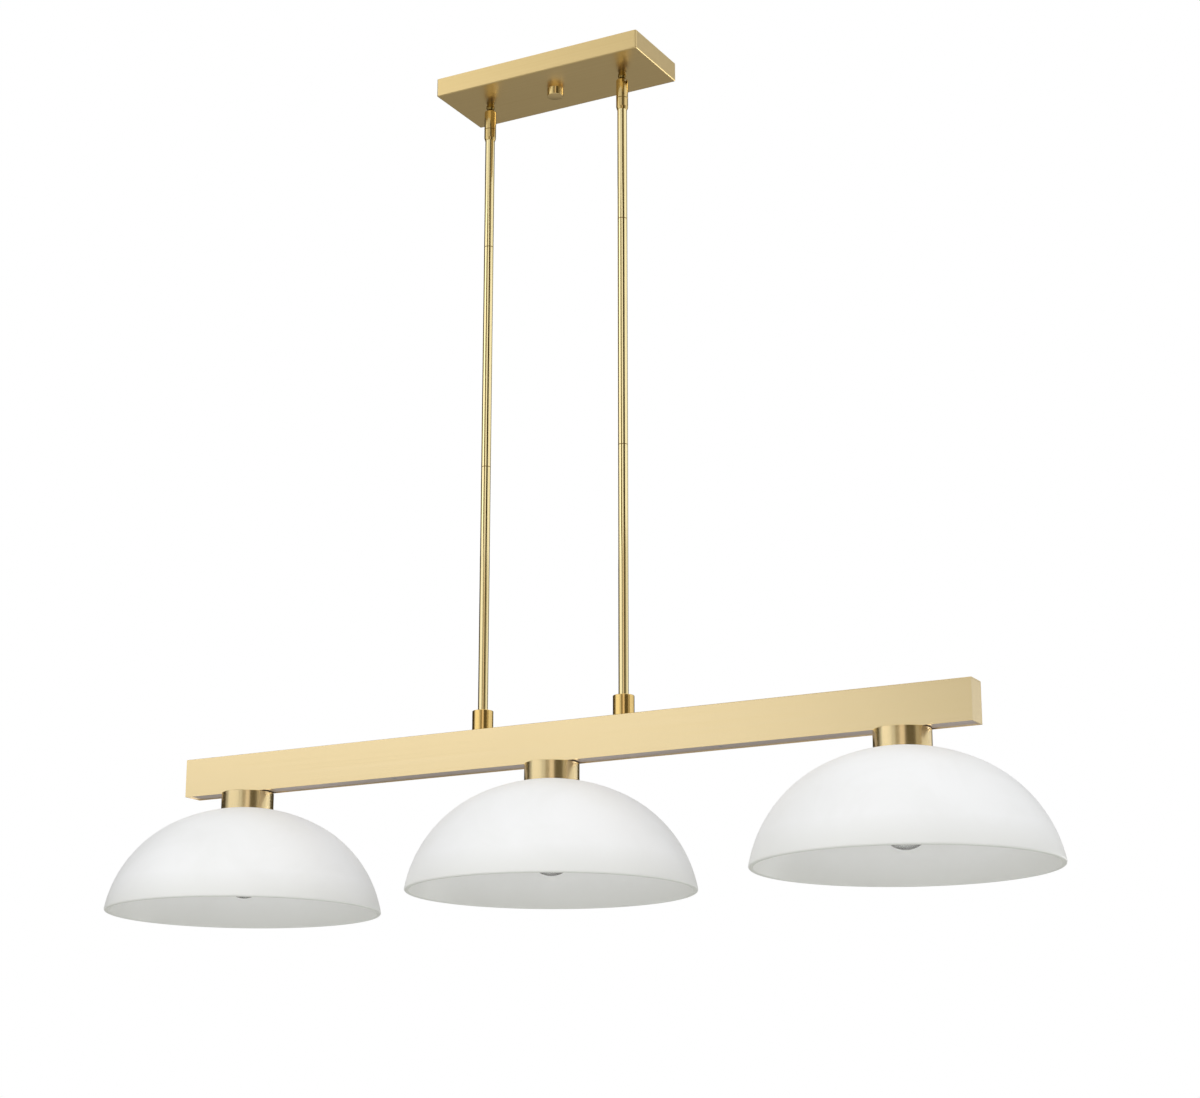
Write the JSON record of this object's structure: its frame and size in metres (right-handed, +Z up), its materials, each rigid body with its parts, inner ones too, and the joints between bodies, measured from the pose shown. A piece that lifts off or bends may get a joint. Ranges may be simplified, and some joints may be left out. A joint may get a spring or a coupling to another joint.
{
  "type": "billiard light",
  "caption": "Straight ceiling pendant: a flat canopy box, jointed stems on swivels, a box-section bar and wide opal glass domes under round cups.",
  "frame": {"origin": "middle of the strap's two slots, on the ceiling plane", "axes": "+X along the bar, +Z up to the ceiling, +Y the third axis"},
  "size_m": [1.2952, 0.3612, 1.1019],
  "materials": {
    "satin_gold": "satin, brushed",
    "zinc_steel": "zinc plated",
    "green_steel": "green",
    "contact_brass": "bare",
    "cable_jacket": "smooth",
    "opal_glass": "matte opal",
    "black_phenolic": "moulded",
    "clear_glass": "clear",
    "bulb_cap": "rolled thread",
    "filament": "phosphor coated"
  },
  "bodies": {
    "canopy": {"canopy_pan": "satin_gold", "mounting_strap": "zinc_steel", "centre_stud": "zinc_steel", "stud_lock_nut": "zinc_steel", "ground_screw": "green_steel", "swivel_stud_left": "satin_gold", "swivel_stud_right": "satin_gold", "swivel_nuts": "zinc_steel"},
    "knob": {"canopy_knob": "satin_gold"},
    "hanger": {"swivel_barrel_left": "satin_gold", "swivel_barrel_right": "satin_gold", "swivel_collar_left": "satin_gold", "swivel_collar_right": "satin_gold", "rod_upper_left": "satin_gold", "rod_upper_right": "satin_gold", "rod_middle_left": "satin_gold", "rod_middle_right": "satin_gold", "rod_lower_left": "satin_gold", "rod_lower_right": "satin_gold", "rod_nipples": "zinc_steel", "bar_collar_left": "satin_gold", "bar_collar_right": "satin_gold", "bar_nipples": "zinc_steel", "bar_lock_nuts": "zinc_steel", "bar_channel": "satin_gold", "bar_end_cap_left": "satin_gold", "bar_end_cap_right": "satin_gold", "bar_cover": "satin_gold", "cover_brackets": "zinc_steel", "cover_screws": "satin_gold", "socket_cup_left": "satin_gold", "socket_cup_middle": "satin_gold", "socket_cup_right": "satin_gold", "cup_nipples": "zinc_steel", "cup_nuts": "zinc_steel", "lampholder_left": "black_phenolic", "lampholder_middle": "black_phenolic", "lampholder_right": "black_phenolic", "screw_shell_left": "contact_brass", "screw_shell_middle": "contact_brass", "screw_shell_right": "contact_brass", "centre_contacts": "contact_brass", "shade_ring_left": "black_phenolic", "shade_ring_middle": "black_phenolic", "shade_ring_right": "black_phenolic", "glass_shade_left": "opal_glass", "glass_shade_middle": "opal_glass", "glass_shade_right": "opal_glass", "stem_cable": "cable_jacket", "lamp_harness": "cable_jacket"},
    "bulb_left": {"bulb_glass_left": "clear_glass", "bulb_base_left": "bulb_cap", "bulb_filament_left": "filament"},
    "bulb_middle": {"bulb_glass_middle": "clear_glass", "bulb_base_middle": "bulb_cap", "bulb_filament_middle": "filament"},
    "bulb_right": {"bulb_glass_right": "clear_glass", "bulb_base_right": "bulb_cap", "bulb_filament_right": "filament"}
  },
  "joints": [
    {"name": "hanger_swing", "type": "hinge", "parent": "canopy", "child": "hanger", "pos_m": [0, 0, -0.0419], "axis": [1, 0, 0], "range_deg": [-15, 15]},
    {"name": "knob_turn", "type": "hinge", "parent": "canopy", "child": "knob", "pos_m": [0, 0, -0.0255], "axis": [0, 0, 1], "continuous": true},
    {"name": "bulb_turn_left", "type": "hinge", "parent": "hanger", "child": "bulb_left", "pos_m": [-0.467, 0, -1], "axis": [0, 0, 1], "continuous": true},
    {"name": "bulb_turn_middle", "type": "hinge", "parent": "hanger", "child": "bulb_middle", "pos_m": [0, 0, -1], "axis": [0, 0, 1], "continuous": true},
    {"name": "bulb_turn_right", "type": "hinge", "parent": "hanger", "child": "bulb_right", "pos_m": [0.467, 0, -1], "axis": [0, 0, 1], "continuous": true}
  ]
}
